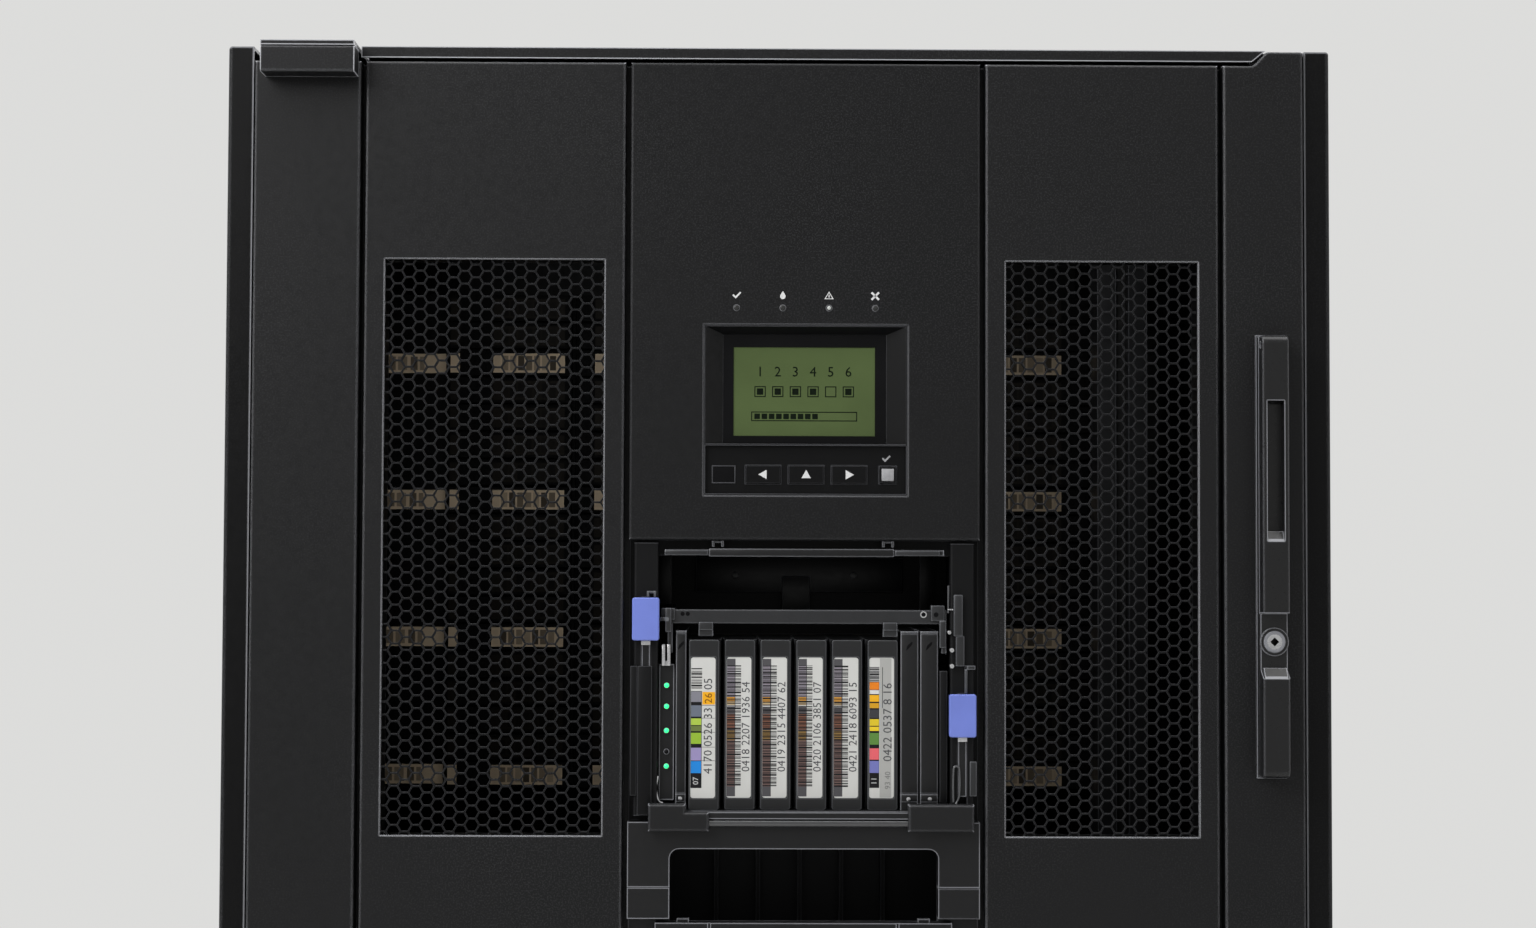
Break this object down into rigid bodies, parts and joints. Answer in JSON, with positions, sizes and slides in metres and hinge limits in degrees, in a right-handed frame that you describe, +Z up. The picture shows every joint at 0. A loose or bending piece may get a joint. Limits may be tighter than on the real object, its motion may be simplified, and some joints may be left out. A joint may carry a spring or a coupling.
{
  "type": "data tape library",
  "caption": "Free-standing cabinet whose hinged front door has honeycomb grilles, an operator display, a loading bay with upright data cartridges and a lever handle; racks and a picker inside.",
  "frame": {"origin": "centre of the whole box at floor level", "axes": "+Z up, -Y out of the front door, +X to the right of someone facing the front"},
  "size_m": [0.69, 0.9, 1.1],
  "materials": {
    "charcoal_paint": "fine textured powder coat",
    "black_plastic": "matte moulded",
    "cartridge_shell": "matte moulded",
    "display_black": "glossy",
    "lcd_green": "backlit display",
    "board_green": "solder mask",
    "lamp_lens": "clear lens",
    "release_blue": "satin moulded",
    "bar_grey": "satin",
    "steel": "machined",
    "zinc_sheet": "zinc plated sheet",
    "aluminium": "anodised",
    "picker_plastic": "matte moulded"
  },
  "bodies": {
    "cabinet": {"left_side_panel": "charcoal_paint", "right_side_panel": "charcoal_paint", "roof_panel": "charcoal_paint", "hinge_brackets": "charcoal_paint", "rear_panel": "charcoal_paint", "base_frame": "charcoal_paint", "storage_racks": "black_plastic", "stored_cartridges": "cartridge_shell", "levelling_feet": "steel", "corner_posts": "zinc_sheet", "module_cage": "zinc_sheet", "picker_column": "aluminium"},
    "front_door": {"door_frame": "charcoal_paint", "left_stile": "charcoal_paint", "right_stile": "charcoal_paint", "left_grille_panel": "charcoal_paint", "left_grille": "charcoal_paint", "right_grille_panel": "charcoal_paint", "right_grille": "charcoal_paint", "console_panel": "charcoal_paint", "console_bezel": "black_plastic", "display_window": "display_black", "lcd_panel": "lcd_green", "keypad_board": "board_green", "status_lights": "lamp_lens", "io_housing": "black_plastic", "bay_trim_bar": "black_plastic", "left_guide_post": "black_plastic", "right_guide_post": "black_plastic", "led_strip": "black_plastic", "lower_bezel": "black_plastic", "lower_bay": "black_plastic", "lower_panel": "charcoal_paint", "hinge_blocks": "charcoal_paint", "handle_base": "black_plastic"},
    "handle_lever": {"handle_lever": "black_plastic"},
    "lock_cylinder": {"lock_cylinder": "steel"},
    "key_left": {"key_left": "black_plastic"},
    "key_up": {"key_up": "black_plastic"},
    "key_right": {"key_right": "black_plastic"},
    "key_select": {"key_select": "black_plastic"},
    "left_release": {"left_release": "release_blue"},
    "right_release": {"right_release": "release_blue"},
    "retaining_bar": {"retaining_bar": "bar_grey"},
    "io_magazine": {"io_magazine": "black_plastic"},
    "io_cartridge_1": {"io_cartridge_1": "cartridge_shell"},
    "io_cartridge_2": {"io_cartridge_2": "cartridge_shell"},
    "io_cartridge_3": {"io_cartridge_3": "cartridge_shell"},
    "io_cartridge_4": {"io_cartridge_4": "cartridge_shell"},
    "io_cartridge_5": {"io_cartridge_5": "cartridge_shell"},
    "io_cartridge_6": {"io_cartridge_6": "cartridge_shell"},
    "lower_flap": {"lower_flap": "black_plastic"},
    "picker_carriage": {"picker_carriage": "aluminium"},
    "picker_shuttle": {"picker_shuttle": "picker_plastic"},
    "picker_gripper": {"picker_gripper": "picker_plastic"},
    "tape_drive_1": {"tape_drive_1": "zinc_sheet"},
    "tape_drive_2": {"tape_drive_2": "zinc_sheet"},
    "power_supply_1": {"power_supply_1": "zinc_sheet"},
    "power_supply_2": {"power_supply_2": "zinc_sheet"},
    "controller_module": {"controller_module": "zinc_sheet"}
  },
  "joints": [
    {"name": "door_swing", "type": "hinge", "parent": "cabinet", "child": "front_door", "pos_m": [-0.311, -0.441, 0.55], "axis": [0, 0, -1], "range_deg": [0, 110]},
    {"name": "lever_lift", "type": "hinge", "parent": "front_door", "child": "handle_lever", "pos_m": [0.306, -0.44415, 0.91415], "axis": [-1, 0, 0], "range_deg": [0, 35]},
    {"name": "lock_turn", "type": "hinge", "parent": "front_door", "child": "lock_cylinder", "pos_m": [0.306, -0.442, 0.7307], "axis": [0, 1, 0], "range_deg": [0, 90]},
    {"name": "bar_lift", "type": "hinge", "parent": "front_door", "child": "retaining_bar", "pos_m": [0.0167, -0.332, 0.74475], "axis": [-1, 0, 0], "range_deg": [0, 12]},
    {"name": "flap_drop", "type": "hinge", "parent": "front_door", "child": "lower_flap", "pos_m": [0.0163, -0.42675, 0.42785], "axis": [1, 0, 0], "range_deg": [0, 90]},
    {"name": "magazine_slide", "type": "slide", "parent": "front_door", "child": "io_magazine", "axis": [0, -1, 0], "range_m": [0, 0.11]},
    {"name": "key_left_press", "type": "slide", "parent": "front_door", "child": "key_left", "axis": [0, 1, 0], "range_m": [0, 0.0012], "stiffness_N_per_m": 800},
    {"name": "key_up_press", "type": "slide", "parent": "front_door", "child": "key_up", "axis": [0, 1, 0], "range_m": [0, 0.0012], "stiffness_N_per_m": 800},
    {"name": "key_right_press", "type": "slide", "parent": "front_door", "child": "key_right", "axis": [0, 1, 0], "range_m": [0, 0.0012], "stiffness_N_per_m": 800},
    {"name": "key_select_press", "type": "slide", "parent": "front_door", "child": "key_select", "axis": [0, 1, 0], "range_m": [0, 0.0012], "stiffness_N_per_m": 800},
    {"name": "left_release_push", "type": "slide", "parent": "front_door", "child": "left_release", "axis": [0, 0, -1], "range_m": [0, 0.012], "stiffness_N_per_m": 300},
    {"name": "right_release_push", "type": "slide", "parent": "front_door", "child": "right_release", "axis": [0, 0, -1], "range_m": [0, 0.012], "stiffness_N_per_m": 300},
    {"name": "io_cartridge_1_pull", "type": "slide", "parent": "io_magazine", "child": "io_cartridge_1", "axis": [0, -1, 0], "range_m": [0, 0.09]},
    {"name": "io_cartridge_2_pull", "type": "slide", "parent": "io_magazine", "child": "io_cartridge_2", "axis": [0, -1, 0], "range_m": [0, 0.09]},
    {"name": "io_cartridge_3_pull", "type": "slide", "parent": "io_magazine", "child": "io_cartridge_3", "axis": [0, -1, 0], "range_m": [0, 0.09]},
    {"name": "io_cartridge_4_pull", "type": "slide", "parent": "io_magazine", "child": "io_cartridge_4", "axis": [0, -1, 0], "range_m": [0, 0.09]},
    {"name": "io_cartridge_5_pull", "type": "slide", "parent": "io_magazine", "child": "io_cartridge_5", "axis": [0, -1, 0], "range_m": [0, 0.09]},
    {"name": "io_cartridge_6_pull", "type": "slide", "parent": "io_magazine", "child": "io_cartridge_6", "axis": [0, -1, 0], "range_m": [0, 0.09]},
    {"name": "picker_lift", "type": "slide", "parent": "cabinet", "child": "picker_carriage", "axis": [0, 0, 1], "range_m": [-0.25, 0.58]},
    {"name": "picker_traverse", "type": "slide", "parent": "picker_carriage", "child": "picker_shuttle", "axis": [1, 0, 0], "range_m": [-0.14, 0.25]},
    {"name": "picker_reach", "type": "slide", "parent": "picker_shuttle", "child": "picker_gripper", "axis": [0, 1, 0], "range_m": [0, 0.045]},
    {"name": "tape_drive_1_slide", "type": "slide", "parent": "cabinet", "child": "tape_drive_1", "axis": [0, 1, 0], "range_m": [0, 0.15]},
    {"name": "tape_drive_2_slide", "type": "slide", "parent": "cabinet", "child": "tape_drive_2", "axis": [0, 1, 0], "range_m": [0, 0.15]},
    {"name": "power_supply_1_slide", "type": "slide", "parent": "cabinet", "child": "power_supply_1", "axis": [0, 1, 0], "range_m": [0, 0.15]},
    {"name": "power_supply_2_slide", "type": "slide", "parent": "cabinet", "child": "power_supply_2", "axis": [0, 1, 0], "range_m": [0, 0.15]},
    {"name": "controller_module_slide", "type": "slide", "parent": "cabinet", "child": "controller_module", "axis": [0, 1, 0], "range_m": [0, 0.15]}
  ]
}
